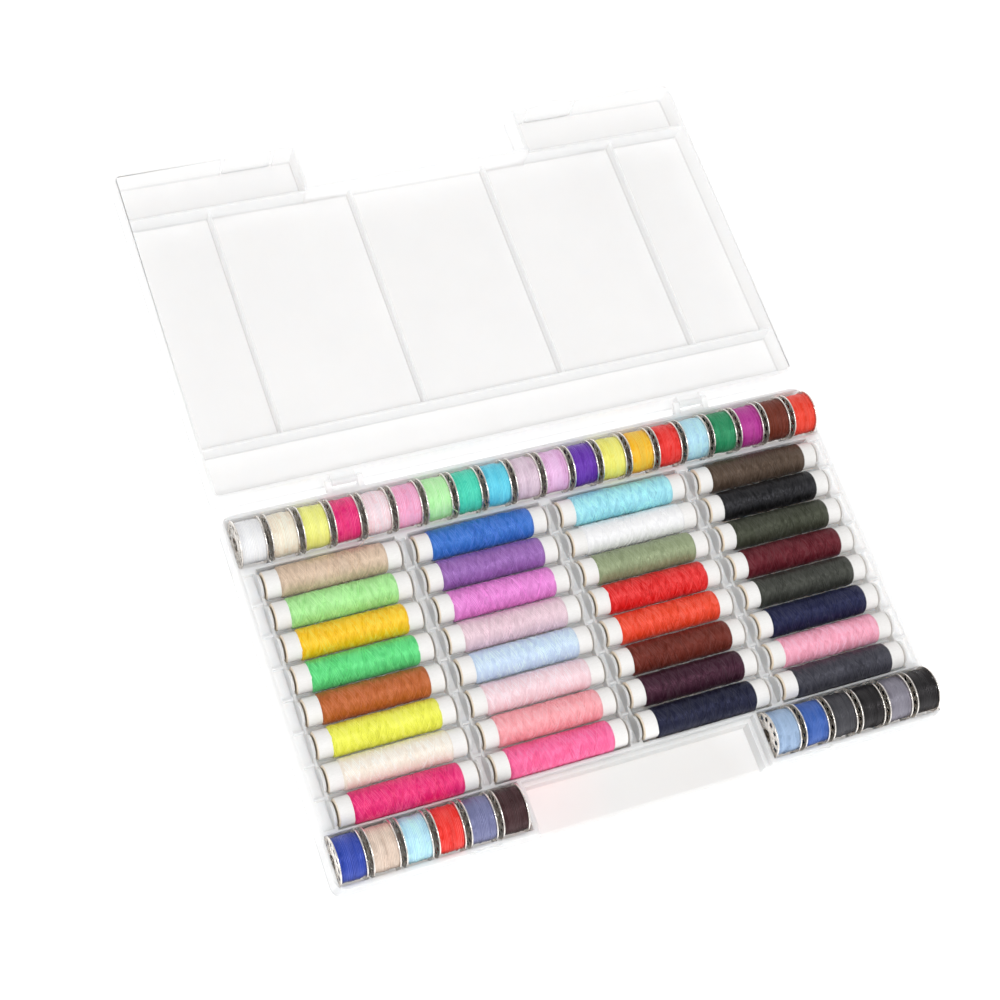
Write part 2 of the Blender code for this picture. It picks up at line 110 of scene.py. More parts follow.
BOBBIN_THREADS = {
    "white": (0.84, 0.85, 0.88), "beige": (0.90, 0.78, 0.62),
    "light_yellow": (0.88, 0.89, 0.22), "magenta": (0.76, 0.015, 0.18),
    "light_pink": (0.93, 0.66, 0.71), "pink": (0.93, 0.38, 0.58),
    "light_green": (0.45, 0.92, 0.40), "teal": (0.05, 0.62, 0.44),
    "sky_blue": (0.10, 0.60, 0.80), "mauve": (0.66, 0.52, 0.62),
    "orchid": (0.78, 0.46, 0.72), "dark_purple": (0.12, 0.022, 0.38),
    "pale_yellow": (0.90, 0.84, 0.16), "golden_yellow": (0.97, 0.50, 0.008),
    "red": (0.78, 0.014, 0.008), "light_blue": (0.42, 0.70, 0.88),
    "green": (0.014, 0.24, 0.10), "violet": (0.40, 0.022, 0.26),
    "brown": (0.15, 0.026, 0.012), "orange_red": (0.80, 0.035, 0.008),
}
FRONT_BOBBINS = {
    "bobbins_front_left_outer": (
        ("royal", (0.018, 0.050, 0.36)), ("sand", (0.66, 0.53, 0.44)), ("powder", (0.44, 0.72, 0.90))),
    "bobbins_front_left_inner": (
        ("scarlet", (0.82, 0.018, 0.010)), ("denim", (0.16, 0.17, 0.32)), ("umber", (0.042, 0.018, 0.020))),
    "bobbins_front_right_inner": (
        ("steel", (0.30, 0.42, 0.60)), ("blue", (0.03, 0.10, 0.38)), ("charcoal", (0.045, 0.045, 0.052))),
    "bobbins_front_right_outer": (
        ("ink", (0.006, 0.0055, 0.006)), ("ash", (0.19, 0.18, 0.22)), ("coal", (0.006, 0.0055, 0.006))),
}

# Loose thread ends, as offsets from the middle of their spool or bobbin, in millimetres.
LOOSE_ENDS = {
    "bobbin_magenta": [
        ((-3.4, 2.0, 9.2), (-3.0, 3.6, 10.2), (-1.4, 4.6, 11.4),
         (0.8, 4.4, 11.2), (1.6, 3.0, 10.2), (0.4, 2.2, 9.2)),
        ((-2.2, 1.0, 9.4), (-0.6, 2.6, 10.4), (1.8, 3.2, 10.2), (3.4, 2.2, 9.2)),
    ],
    "bobbin_light_green": [
        ((3.4, -6.6, 6.6), (4.4, -8.0, 6.0), (5.6, -9.0, 5.6), (6.4, -10.0, 5.8), (6.9, -10.8, 5.2)),
    ],
    "spool_tan": [
        ((12.5, 5.0, 4.4), (14.5, 6.2, 3.8), (16.5, 7.6, 2.6),
         (17.6, 9.0, 1.5), (20.0, 9.6, 1.5), (22.0, 9.2, 1.5)),
    ],
}


# ---- materials -------------------------------------------------------------------------------
def new_material(name):
    made = bpy.data.materials.new(name)
    made.use_nodes = True
    return made, made.node_tree, made.node_tree.nodes["Principled BSDF"]


def add(tree, kind, inputs, **settings):
    """A shader node; an input is a number, a colour or another node's output."""
    made = tree.nodes.new(kind)
    for key, value in settings.items():
        setattr(made, key, value)
    for key, value in inputs.items():
        if isinstance(value, bpy.types.NodeSocket):
            tree.links.new(value, made.inputs[key])
        else:
            made.inputs[key].default_value = value
    return made


def maths(tree, operation, *values):
    made = add(tree, "ShaderNodeMath", dict(enumerate(values)), operation=operation)
    return made.outputs[0]


def noise(tree, where, scale, detail=3.0, roughness=0.5):
    made = add(tree, "ShaderNodeTexNoise", {
        "Vector": where, "Scale": scale, "Detail": detail, "Roughness": roughness})
    return made.outputs["Fac"]


def spread(tree, value, low, high, to_low, to_high):
    made = add(tree, "ShaderNodeMapRange", {
        "Value": value, "From Min": low, "From Max": high, "To Min": to_low, "To Max": to_high})
    return made.outputs["Result"]


def blended(tree, factor, first, second):
    """A mix of two colours by a factor."""
    made = add(tree, "ShaderNodeMix", {}, data_type="RGBA")
    for socket, value in ((0, factor), (6, first), (7, second)):
        if isinstance(value, bpy.types.NodeSocket):
            tree.links.new(value, made.inputs[socket])
        else:
            made.inputs[socket].default_value = value if socket == 0 else (*value, 1.0)
    return made.outputs[2]


def object_point(tree):
    return tree.nodes.new("ShaderNodeTexCoord").outputs["Object"]


def add_bump(tree, shader, height, strength, distance):
    sockets = {"Strength": strength, "Distance": distance, "Height": height}
    bump = add(tree, "ShaderNodeBump", sockets)
    tree.links.new(bump.outputs["Normal"], shader.inputs["Normal"])


def distance_from(tree, where, point):
    away = add(tree, "ShaderNodeVectorMath", {0: where, 1: point}, operation="DISTANCE")
    return away.outputs["Value"]


def plastic_colour_and_painted_light(tree, where, clouds, thin):
    """Painted light: whiter in thin walls as if lit through, painted shade greys the hand hold, and a
    painted pink glow where the thread shines through.
    """
    tone = spread(tree, clouds, 0.3, 0.7, 0.0, 1.0)
    floors = blended(tree, tone, (0.835, 0.836, 0.838), (0.865, 0.865, 0.865))
    # the walls' whiter colour is painted light, as if lit through
    walls = blended(tree, tone, (0.940, 0.941, 0.942), (0.965, 0.965, 0.965))
    # painted shade: greyer within about 66 mm of the hand hold, strongest near its middle
    painted_hand_hold_shade = spread(tree, distance_from(tree, where, HAND_HOLD_SHADE_AT), 40.0 * MM, 66.0 * MM, 0.85, 0.0)
    milky = blended(tree, painted_hand_hold_shade, blended(tree, thin, floors, walls), (0.735, 0.732, 0.728))
    # painted pink glow: the pink thread's light through the plastic, painted into its colour
    painted_pink_glow = spread(tree, distance_from(tree, where, PINK_GLOW_AT), 4.0 * MM, 36.0 * MM, 0.75, 0.0)
    return blended(tree, painted_pink_glow, milky, (0.88, 0.74, 0.745))


def frosted_plastic(name):
    """Translucent polypropylene: milky, satin, with a fine grain and slow flow marks, and a painted glow in
    its thin walls.
    """
    made, tree, shader = new_material(name)
    where = object_point(tree)
    clouds = noise(tree, where, 28.0, 4.0)
    grain = noise(tree, where, 2600.0, 2.0)
    place = add(tree, "ShaderNodeSeparateXYZ", {"Vector": where}).outputs
    thin = spread(tree, place["Z"], 2.4 * MM, 4.6 * MM, 0.0, 1.0)
    tree.links.new(plastic_colour_and_painted_light(tree, where, clouds, thin), shader.inputs["Base Color"])
    in_lid = spread(tree, place["Y"], -6.0 * MM, -2.0 * MM, 0.0, 1.0)
    outside = spread(tree, maths(tree, "ABSOLUTE", place["X"]), 136.0 * MM, 138.0 * MM, 0.0, 1.0)
    # painted glow: thin walls of the lid and of the tray's outer ends emit a little light, as if lit
    # through
    painted_light_mask = maths(tree, "MULTIPLY", thin, maths(tree, "MAXIMUM", in_lid, outside))
    shader.inputs["Emission Color"].default_value = (1.0, 0.995, 0.99, 1.0)
    painted_glow = maths(tree, "MULTIPLY", painted_light_mask, PAINTED_WALL_GLOW)
    tree.links.new(painted_glow, shader.inputs["Emission Strength"])
    rough = spread(tree, noise(tree, where, 160.0), 0.3, 0.7, 0.36, 0.50)
    tree.links.new(rough, shader.inputs["Roughness"])
    shader.inputs["IOR"].default_value = 1.49
    shader.inputs["Transmission Weight"].default_value = 0.12
    shader.inputs["Subsurface Weight"].default_value = 0.85
    shader.inputs["Subsurface Radius"].default_value = (1.0, 0.93, 0.88)
    shader.inputs["Subsurface Scale"].default_value = 7.0 * MM
    height = maths(tree, "ADD", maths(tree, "MULTIPLY", grain, 0.25), clouds)
    add_bump(tree, shader, height, 0.25, 0.2 * MM)
    return made


def strand_ridge(tree, lanes, seed):
    """Height of the strand that runs in each lane; every strand has its own height."""
    number = maths(tree, "FLOOR", lanes)
    lane = maths(tree, "ADD", number, seed)
    own = add(tree, "ShaderNodeTexWhiteNoise", {"W": lane}, noise_dimensions="1D")
    across = maths(tree, "SUBTRACT", lanes, number)
    ridge = maths(tree, "SINE", maths(tree, "MULTIPLY", across, math.pi))
    return maths(tree, "MULTIPLY", ridge, spread(tree, own.outputs["Value"], 0.0, 1.0, 0.35, 1.0))


def crossing_strands(tree, where):
    """Height of the strands, and the facets in which one direction lies on top."""
    layout = tree.nodes.new("ShaderNodeUVMap")
    layout.uv_map = "strands"
    axes = add(tree, "ShaderNodeSeparateXYZ", {"Vector": layout.outputs["UV"]})
    waves_of = [
        maths(tree, "SINE", maths(tree, "MULTIPLY", axes.outputs[k], TURN / FACET_LANES))
        for k in (0, 1)
    ]
    jitter = spread(tree, noise(tree, where, 260.0, 2.0), 0.3, 0.7, -0.7, 0.7)
    facets = maths(tree, "ADD", maths(tree, "MULTIPLY", *waves_of), jitter)
    patches = spread(tree, facets, -0.22, 0.22, 0.0, 1.0)
    first = maths(tree, "MULTIPLY", strand_ridge(tree, axes.outputs[0], 0.5),
                  spread(tree, patches, 0.0, 1.0, 0.35, 1.0))
    second = maths(tree, "MULTIPLY", strand_ridge(tree, axes.outputs[1], 700.5),
                   spread(tree, patches, 0.0, 1.0, 0.9, 0.25))
    return maths(tree, "MAXIMUM", first, second), patches


def thread(name, colour):
    """Wound polyester thread: crossing strands with painted shade between them and a painted sheen on top
    and on facets, and a sheen in the shader.
    """
    made, tree, shader = new_material(name)
    where = object_point(tree)
    fine, patches = crossing_strands(tree, where)
    relief = add(tree, "ShaderNodeAttribute", {}, attribute_name="relief").outputs["Fac"]
    fibres = noise(tree, where, 3200.0, 2.0, 0.6)
    # painted sheen: facets where one direction lies on top are painted lighter, plus random fibre tone
    painted_sheen_and_fibre_tone = maths(tree, "ADD", maths(tree, "MULTIPLY", patches, 0.17),
                  maths(tree, "MULTIPLY", fibres, 0.12))
    tone = maths(tree, "ADD", maths(tree, "MULTIPLY", relief, 0.30),
                 maths(tree, "ADD", maths(tree, "MULTIPLY", fine, 0.60), painted_sheen_and_fibre_tone))
    vivid, deep = max(colour) > 0.15, max(colour) < 0.3
    # painted shade: dark is the grooves' colour; painted sheen: light is the strand tops' colour
    depth = 0.86 if min(colour) > 0.5 else (0.40 if deep else 0.60)
    dark = tuple(depth * c for c in colour)
    light = tuple(min(0.97, 1.22 * c + 0.08 * max(colour) + 0.020) for c in colour)
    lower = blended(tree, spread(tree, tone, 0.12, 0.46, 0.0, 1.0), dark, colour)
    upper = blended(tree, spread(tree, tone, 0.46, 0.88, 0.0, 1.0), lower, light)
    tree.links.new(upper, shader.inputs["Base Color"])
    height = maths(tree, "ADD", fine, maths(tree, "MULTIPLY", fibres, 0.35))
    add_bump(tree, shader, height, 0.8, 0.2 * MM)
    tree.links.new(spread(tree, fibres, 0.3, 0.7, 0.26, 0.40), shader.inputs["Roughness"])
    shader.inputs["Specular IOR Level"].default_value = 0.95 if vivid else 0.34
    tint = [0.25 + 0.75 * c / max(colour) for c in colour]
    shader.inputs["Specular Tint"].default_value = (*tint, 1.0)
    shader.inputs["Sheen Weight"].default_value = 0.01 if deep else 0.04
    shader.inputs["Sheen Roughness"].default_value = 0.4
    return made


def paper(name, colour, shade):
    """Coated paper or kraft board with short fibres."""
    made, tree, shader = new_material(name)
    where = object_point(tree)
    stretch = add(tree, "ShaderNodeMapping", {"Vector": where, "Scale": (0.35, 1.0, 1.0)})
    fibres = noise(tree, stretch.outputs["Vector"], 1900.0, 4.0, 0.65)
    stains = noise(tree, where, 90.0, 3.0)
    tone = maths(tree, "ADD", maths(tree, "MULTIPLY", fibres, 0.6),
                 maths(tree, "MULTIPLY", stains, 0.4))
    mixed = blended(tree, spread(tree, tone, 0.35, 0.65, 0.0, 1.0), shade, colour)
    tree.links.new(mixed, shader.inputs["Base Color"])
    rough = spread(tree, fibres, 0.3, 0.7, 0.55, 0.75)
    tree.links.new(rough, shader.inputs["Roughness"])
    add_bump(tree, shader, fibres, 0.25, 0.12 * MM)
    return made


def nickel(name):
    """Bright nickel with turning marks and a few dull patches."""
    made, tree, shader = new_material(name)
    where = object_point(tree)
    across = add(tree, "ShaderNodeMapping", {"Vector": where, "Scale": (0.2, 1.0, 1.0)})
    marks = noise(tree, across.outputs["Vector"], 1500.0, 4.0, 0.7)
    patches = noise(tree, where, 240.0, 3.0)
    tint = blended(tree, patches, (0.84, 0.78, 0.71), (0.96, 0.94, 0.91))
    tree.links.new(tint, shader.inputs["Base Color"])
    shader.inputs["Metallic"].default_value = 1.0
    rough = spread(tree, maths(tree, "MULTIPLY", marks, patches), 0.1, 0.5, 0.20, 0.44)
    tree.links.new(rough, shader.inputs["Roughness"])
    dents = noise(tree, where, 900.0, 2.0)
    height = maths(tree, "ADD", maths(tree, "MULTIPLY", marks, 0.2), dents)
    add_bump(tree, shader, height, 0.7, 0.4 * MM)
    return made


# ---- shapes ----------------------------------------------------------------------------------
class Shape:
    """Points and quads of one piece, gathered grid by grid."""

    def __init__(self):
        self.points, self.faces, self.slots, self.layout, self.relief = [], [], [], [], []
        self.count = 0

    def grid(self, points, slot=0, layout=None, relief=None):
        """Adds rows x columns of points, closed on itself along its columns."""
        rows, columns = points.shape[:2]
        index = self.count + np.arange(rows * columns).reshape(rows, columns)
        after = np.roll(index, -1, axis=1)
        quads = np.stack([index[:-1], after[:-1], after[1:], index[1:]], axis=-1)
        if layout is None:
            layout = np.full((rows, columns + 1, 2), 0.25)
        near, far = layout[:, :-1], layout[:, 1:]
        corners = np.stack([near[:-1], far[:-1], far[1:], near[1:]], axis=2)
        self.points.append(points.reshape(-1, 3))
        self.faces.append(quads.reshape(-1, 4))
        self.slots.append(np.full((rows - 1) * columns, slot))
        self.layout.append(corners.reshape(-1, 2))
        self.relief.append(np.full(rows * columns, 0.5) if relief is None else relief.reshape(-1))
        self.count += rows * columns

    def piece(self, name, materials, body):
        """Makes the object, welds its grids together and lets it ride on a body."""
        mesh = bpy.data.meshes.new(name)
        mesh.from_pydata(np.concatenate(self.points), [], np.concatenate(self.faces))
        mesh.polygons.foreach_set("material_index", np.concatenate(self.slots).astype(np.int32))
        layer = mesh.uv_layers.new(name="strands")
        layer.data.foreach_set("uv", np.concatenate(self.layout).astype(np.float32).reshape(-1))
        relief = mesh.attributes.new("relief", "FLOAT", "POINT")
        relief.data.foreach_set("value", np.concatenate(self.relief).astype(np.float32))
        bm = bmesh.new()
        bm.from_mesh(mesh)
        bmesh.ops.remove_doubles(bm, verts=bm.verts, dist=0.002 * MM)
        bm.to_mesh(mesh)
        bm.free()
        mesh.shade_smooth()
        mesh.set_sharp_from_angle(angle=math.radians(50))
        for look in materials:
            mesh.materials.append(look)
        made = bpy.data.objects.new(name, mesh)
        bpy.context.scene.collection.objects.link(made)
        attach(made, body)
        return made


def turned(profile, sides, centre):
    """Points of a profile of (x, radius) turned about an axis along X."""
    along, radius = np.array(profile, float).T
    angle = np.arange(sides) / sides * TURN
    return around(along[:, None] + 0 * angle, radius[:, None] + 0 * angle, angle, centre)


def around(along, radius, angle, centre):
    """Points at these distances along and from an axis along X, at these angles."""
    return np.stack([
        centre[0] + along, centre[1] + radius * np.cos(angle), centre[2] + radius * np.sin(angle),
    ], axis=-1)


def waves(rng, along, angle, count, shortest, longest, turns):
    """A smooth random field over a cylinder, about -1 to 1."""
    field = np.zeros(np.broadcast(along, angle).shape)
    for _ in range(count):
        length = rng.uniform(shortest, longest)
        lobes = rng.integers(-turns, turns + 1)
        field += np.sin(TURN * along / length + lobes * angle + rng.uniform(0, TURN))
    return field / math.sqrt(count)


def add_strand(shape, path, outward, radius, slot):
    """A thin tube along a path; it thins out at its ends."""
    sides = 4
    ahead = np.gradient(path, axis=0)
    ahead /= np.linalg.norm(ahead, axis=1, keepdims=True)
    side = np.cross(ahead, outward)
    turn = np.arange(sides) / sides * TURN
    thick = radius * np.ones(len(path))
    thick[[0, -1]] = 0.1 * radius
    ring = (np.cos(turn)[None, :, None] * outward[:, None]
            + np.sin(turn)[None, :, None] * side[:, None])
    points = path[:, None] + thick[:, None, None] * ring
    # relief 1 lifts the strand towards the thread's painted sheen colour
    shape.grid(points[::-1], slot, relief=np.full(points.shape[:2], 1.0))


def cross_wound(shape, rng, centre, half, radius, slot):
    """Thread wound to and fro along a tube, so that its strands cross, with loose ones on top."""
    rows, columns = 156, 72
    per_turn, spacing = 15.6 * MM, 0.6 * MM
    along = np.linspace(-half, half, rows)[:, None]
    angle = np.arange(columns + 1)[None, :] / columns * TURN
    sway = 0.35 * MM * waves(rng, along, angle, 4, 9 * MM, 30 * MM, 2)
    forward = (along + sway - per_turn * angle / TURN) / spacing
    back = (along - sway + per_turn * angle / TURN) / spacing
    which = 0.5 + 0.5 * np.tanh(2.4 * waves(rng, along, angle, 6, 5 * MM, 14 * MM, 3))
    ribbons = which * np.cos(TURN * forward / 5) + (1 - which) * np.cos(TURN * back / 5)
    rising, falling = np.abs(np.sin(math.pi * forward / 2)), np.abs(np.sin(math.pi * back / 2))
    ridges = which * rising + (1 - which) * falling
    swell = waves(rng, along, angle, 5, 12 * MM, 40 * MM, 2)
    edge = half + 0.10 * MM * waves(rng, 0 * along, angle, 3, 1, 2, 5) - 0.15 * MM
    depth = np.clip((edge - np.abs(along)) / (0.9 * MM), 0, 1)
    lift = 1 - (1 - depth) ** 2.5
    # relief also sets the thread's colour: painted shade where low, painted sheen where high
    relief = 0.30 * ridges + 0.20 * (ribbons + 1)
    bulk = radius - 0.17 * MM + 0.05 * MM * swell
    sunk = TUBE_R - 0.03 * MM
    size = sunk + lift * (bulk + 0.16 * MM * relief - sunk)
    points = around(along + 0 * angle, size, angle, centre)
    layout = np.stack([forward, back], axis=-1)
    shape.grid(points[:, :-1], slot, layout, np.clip(relief[:, :-1] + 0.08 * swell[:, :-1], 0, 1))
    for _ in range(LOOSE_PER_SPOOL):
        add_loose_strand(shape, rng, centre, half, bulk.mean() + 0.12 * MM, slot)


def add_loose_strand(shape, rng, centre, half, radius, slot):
    """One strand that lies on top of the winding, across the others."""
    per_turn = rng.uniform(9, 18) * MM * rng.choice((-1, 1))
    turns = rng.uniform(0.35, 0.95)
    steps = max(8, int(32 * turns))
    reach = abs(per_turn) * turns / 2
    middle = rng.uniform(-1, 1) * max(half - 1.2 * MM - reach, 0.0)
    t = np.linspace(-0.5, 0.5, steps)
    angle = rng.uniform(0, TURN) + turns * t * TURN
    along = middle + per_turn * turns * t + 0.3 * MM * np.sin(7 * t + rng.uniform(0, TURN))
    height = radius - 0.16 * MM * (np.abs(2 * t) ** 6)
    path = around(along, height, angle, centre)
    outward = np.stack([0 * angle, np.cos(angle), np.sin(angle)], axis=-1)
    add_strand(shape, path, outward, STRAND_R * rng.uniform(0.8, 1.15), slot)


def add_tube(shape, centre, half):
    """A white paper skin around a kraft core, whose ends are rounded off."""
    edge, nose = half - 0.45 * MM, half - 0.12 * MM
    lip = TUBE_R - 0.14 * MM
    skin = [(-edge, lip), (-edge - 0.02 * MM, TUBE_R - 0.03 * MM), (0.25 * MM - edge, TUBE_R),
            (edge - 0.25 * MM, TUBE_R), (edge + 0.02 * MM, TUBE_R - 0.03 * MM), (edge, lip)]
    shape.grid(turned(skin, 56, centre), 0)
    core = [(edge, lip), (nose, TUBE_R - 0.5 * MM), (half, TUBE_R - 0.95 * MM),
            (half, BORE_R + 0.3 * MM), (half - 0.3 * MM, BORE_R), (0.3 * MM - half, BORE_R),
            (-half, BORE_R + 0.3 * MM), (-half, TUBE_R - 0.95 * MM), (-nose, TUBE_R - 0.5 * MM),
            (-edge, lip)]
    shape.grid(turned(core, 56, centre), 1)


def middle_and_half(low, high):
    """The middle of a box, and half its size."""
    return (low + high) / 2, (high - low) / 2


def curved(points, steps):
    """A smooth path through given points."""
    knots = np.array(points, float)
    knots = np.vstack([2 * knots[0] - knots[1], knots, 2 * knots[-1] - knots[-2]])
    made = []
    for a, b, c, d in zip(knots, knots[1:], knots[2:], knots[3:]):
        for t in np.arange(steps) / steps:
            made.append(0.5 * (2 * b + (c - a) * t + (2 * a - 5 * b + 4 * c - d) * t * t
                               + (3 * b - a - 3 * c + d) * t ** 3))
    return np.array(made + [knots[-2]])


def add_thread_end(shape, centre, points, slot):
    """A loose end that stands off the winding; its points are offsets in millimetres."""
    path = curved(points, 8) * MM + np.array(centre)
    ahead = np.gradient(path, axis=0)
    outward = np.cross(ahead, (1.0, 0.3, 0.2))
    outward /= np.linalg.norm(outward, axis=1, keepdims=True)
    add_strand(shape, path, outward, STRAND_R, slot)


def make_spool(name, colour, seed):
    node = f"spool_{name}"
    centre, half = middle_and_half(*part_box(node))
    rng = np.random.default_rng(seed)
    shape = Shape()
    add_tube(shape, centre, half.x)
    cross_wound(shape, rng, centre, half.x - THREAD_MARGIN, max(half.y, half.z), 2)
    for points in LOOSE_ENDS.get(node, ()):
        add_thread_end(shape, centre, points, 2)
    looks = [WHITE_PAPER, KRAFT, thread(f"thread_{name}", colour)]
    made = shape.piece(f"wound_{node}", looks, node)
    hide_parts(node)


# ---- bobbins ---------------------------------------------------------------------------------
def add_pierced_sector(shape, centre, half, hub, rim, at, slot):
    """One sector of a flange, with a round hole in its middle."""
    u = np.arange(SECTOR_SIDE) / SECTOR_SIDE
    ones = np.ones(SECTOR_SIDE)
    square = np.concatenate([
        np.stack([ones, 2 * u - 1], -1), np.stack([1 - 2 * u, ones], -1),
        np.stack([-ones, 1 - 2 * u], -1), np.stack([2 * u - 1, -ones], -1)])
    facing = np.arctan2(square[:, 1], square[:, 0]) + at
    radius = np.interp(square[:, 0], [-1, 1], [hub, rim])
    turn = at + square[:, 1] * TURN / HOLES / 2
    border = np.stack([radius * np.cos(turn), radius * np.sin(turn)], -1)
    middle = HOLE_AT * np.array([math.cos(at), math.sin(at)])
    soft, round_edge = 0.10 * MM, 0.08 * MM
    rings = []
    for size, depth in ((None, half), (HOLE_R + soft, half), (HOLE_R, half - round_edge),
                        (HOLE_R, round_edge - half), (HOLE_R + soft, -half), (None, -half)):
        circle = np.stack([np.cos(facing), np.sin(facing)], -1)
        flat = border if size is None else middle + size * circle
        x = np.full(len(flat), centre[0] + depth)
        rings.append(np.stack([x, centre[1] + flat[:, 0], centre[2] + flat[:, 1]], -1))
    shape.grid(np.array(rings)[:, ::-1], slot)


def add_flange(shape, centre, half, outer, slot):
    """A disc pierced by a ring of holes, with a beaded rim."""
    hub, rim = BOBBIN_BORE, outer - 0.45 * MM
    sides = HOLES * SECTOR_SIDE
    for number in range(HOLES):
        add_pierced_sector(shape, centre, half, hub, rim, (number + 0.5) * TURN / HOLES, slot)
    bead = half + 0.12 * MM
    rise, crown = rim + 0.14 * MM, outer - 0.12 * MM
    rim_profile = [(-half, rim), (-bead, rise), (-bead, crown), (-bead * 0.6, outer),
                   (bead * 0.6, outer), (bead, crown), (bead, rise), (half, rim)]
    shape.grid(turned(rim_profile, sides, centre), slot)
    shape.grid(turned([(half, hub), (-half, hub)], sides, centre), slot)


def straight_wound(shape, rng, centre, half, radius, slot):
    """Thread wound round and round between a bobbin's flanges."""
    rows, columns = 84, 64
    spacing = 0.60 * MM
    along = np.linspace(-half, half, rows)[:, None]
    angle = np.arange(columns + 1)[None, :] / columns * TURN
    sway = 0.22 * MM * waves(rng, along, angle, 4, 4 * MM, 12 * MM, 2)
    wraps = (along + sway) / spacing - angle / TURN
    slack = (along - sway) / spacing + angle / TURN
    swell = waves(rng, along, angle, 4, 4 * MM, 14 * MM, 2)
    ridges = np.abs(np.sin(math.pi * wraps))
    low_edges = 0.25 * MM * (np.abs(along) / half) ** 4
    size = radius + 0.12 * MM * ridges + 0.12 * MM * swell - low_edges
    points = around(along + 0 * angle, size, angle, centre)
    # relief also sets the thread's colour: painted shade where low, painted sheen where high
    relief = np.clip(0.25 + 0.5 * ridges + 0.10 * swell, 0, 1)
    shape.grid(points[:, :-1], slot, np.stack([wraps, slack], axis=-1), relief[:, :-1])
    for _ in range(LOOSE_PER_BOBBIN):
        middle = rng.uniform(-0.85, 0.85) * half
        turns = rng.uniform(0.3, 0.8)
        t = np.linspace(-0.5, 0.5, max(10, int(48 * turns)))
        turn = rng.uniform(0, TURN) + turns * t * TURN
        drift = rng.uniform(-1.6, 1.6) * MM
        where = np.clip(middle + drift * t, -half, half)
        height = radius + 0.22 * MM - 0.2 * MM * np.abs(2 * t) ** 6
        outward = np.stack([0 * turn, np.cos(turn), np.sin(turn)], axis=-1)
        add_strand(shape, around(where, height, turn, centre), outward, STRAND_R, slot)


def make_bobbin(name, node, body, centre, radius, colour, seed):
    """A nickel bobbin full of thread."""
    half = BOBBIN_W / 2
    rng = np.random.default_rng(seed)
    shape = Shape()
    for side in (-1, 1):
        flange_middle = centre + Vector((side * (half - FLANGE_T / 2), 0, 0))
        add_flange(shape, flange_middle, FLANGE_T / 2 - 0.12 * MM, radius, 0)
    end, sleeve = half - 0.1 * MM, BOBBIN_BORE + 0.5 * MM
    hub = [(-end, sleeve), (end, sleeve), (end, BOBBIN_BORE), (-end, BOBBIN_BORE), (-end, sleeve)]
    shape.grid(turned(hub, 48, centre), 0)
    straight_wound(shape, rng, centre, half - FLANGE_T + 0.1 * MM, BOBBIN_WOUND_R - 0.25 * MM, 1)
    for points in LOOSE_ENDS.get(name.replace("wound_", ""), ()):
        add_thread_end(shape, centre, points, 1)
    made = shape.piece(name, [NICKEL, thread(f"{name}_thread", colour)], body)
    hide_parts(node)
    return made


# ---- the frosted case ------------------------------------------------------------------------
def rounded_copy(node, name, width):
    """A copy of a CAD node with its long sharp edges rounded off."""
    source = frame["nodes"][node]
    bm = bmesh.new()
    bm.from_mesh(source.data)
    bmesh.ops.remove_doubles(bm, verts=bm.verts, dist=0.002 * MM)
    short = 2.6 * width
    bends = {e: e.calc_face_angle(0.0) for e in bm.edges}
    crowded = {v for e, bend in bends.items() if bend > math.radians(1) and e.calc_length() < short
               for v in e.verts}
    chosen = [e for e, bend in bends.items()
              if bend > math.radians(35) and not crowded.intersection(e.verts)]
    bmesh.ops.bevel(bm, geom=chosen, offset=width, segments=2, profile=0.5, affect="EDGES",
                    clamp_overlap=False)
    mesh = bpy.data.meshes.new(name)
    bm.to_mesh(mesh)
    bm.free()
    mesh.shade_smooth()
    mesh.set_sharp_from_angle(angle=math.radians(40))
    mesh.materials.append(FROSTED)
    made = bpy.data.objects.new(name, mesh)
    weighted = made.modifiers.new("flat faces stay flat", "WEIGHTED_NORMAL")
    weighted.keep_sharp = True
    bpy.context.scene.collection.objects.link(made)
    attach(made, source["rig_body"])
    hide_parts(node)
    return made


def make_hinge_web(name, middle):
    """The ledge on the tray's back wall that closes the hinge's gap, with a rounded edge."""
    half, top, thick, wall, edge = 6.4 * MM, 12.9 * MM, 1.3 * MM, -4.3 * MM, -1.95 * MM
    soft, nip = 0.5 * MM, 0.15 * MM
    bottom = top - thick
    rim = [(wall, top), (edge - soft, top), (edge - nip, top - nip), (edge, top - soft),
           (edge, bottom + soft), (edge - nip, bottom + nip), (edge - soft, bottom), (wall, bottom)]
    centre = np.mean(rim, axis=0)
    rows = []
    for x, size in ((-half, 0.0), (-half, 1.0), (0.0, 1.0), (half, 1.0), (half, 0.0)):
        loop = centre + size * (np.array(rim) - centre)
        rows.append(np.column_stack([np.full(len(loop), middle + x), loop]))
    shape = Shape()
    shape.grid(np.array(rows), 0)
    made = shape.piece(name, [FROSTED], frame["nodes"]["base_tray"]["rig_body"])


# ---- camera, light and floor -----------------------------------------------------------------
def make_camera():
    """Above the tray's front left corner, looking back over it, rolled a little."""
    lens, azimuth, elevation, roll = 70.86, 43.516, 61.841, 26.689
    position = Vector((-0.2982, -0.3187, 0.7696))
    data = bpy.data.cameras.new("camera")
    data.lens, data.sensor_width, data.clip_start = lens, 36.0, 0.01
    data.dof.use_dof = False
    camera = bpy.data.objects.new("camera", data)
    turn = Euler((math.radians(90 - elevation), 0, math.radians(-azimuth))).to_matrix()
    camera.matrix_world = Matrix.Translation(position) @ (
        turn @ Matrix.Rotation(math.radians(roll), 3, "Z")).to_4x4()
    bpy.context.scene.collection.objects.link(camera)
    bpy.context.scene.camera = camera


def area_light(name, position, target, size, power):
    data = bpy.data.lights.new(name, "AREA")
    data.shape, data.size, data.energy = "DISK", size, power
    made = bpy.data.objects.new(name, data)
    made.location = position
    made.rotation_euler = (Vector(target) - Vector(position)).to_track_quat("-Z", "Y").to_euler()
    bpy.context.scene.collection.objects.link(made)


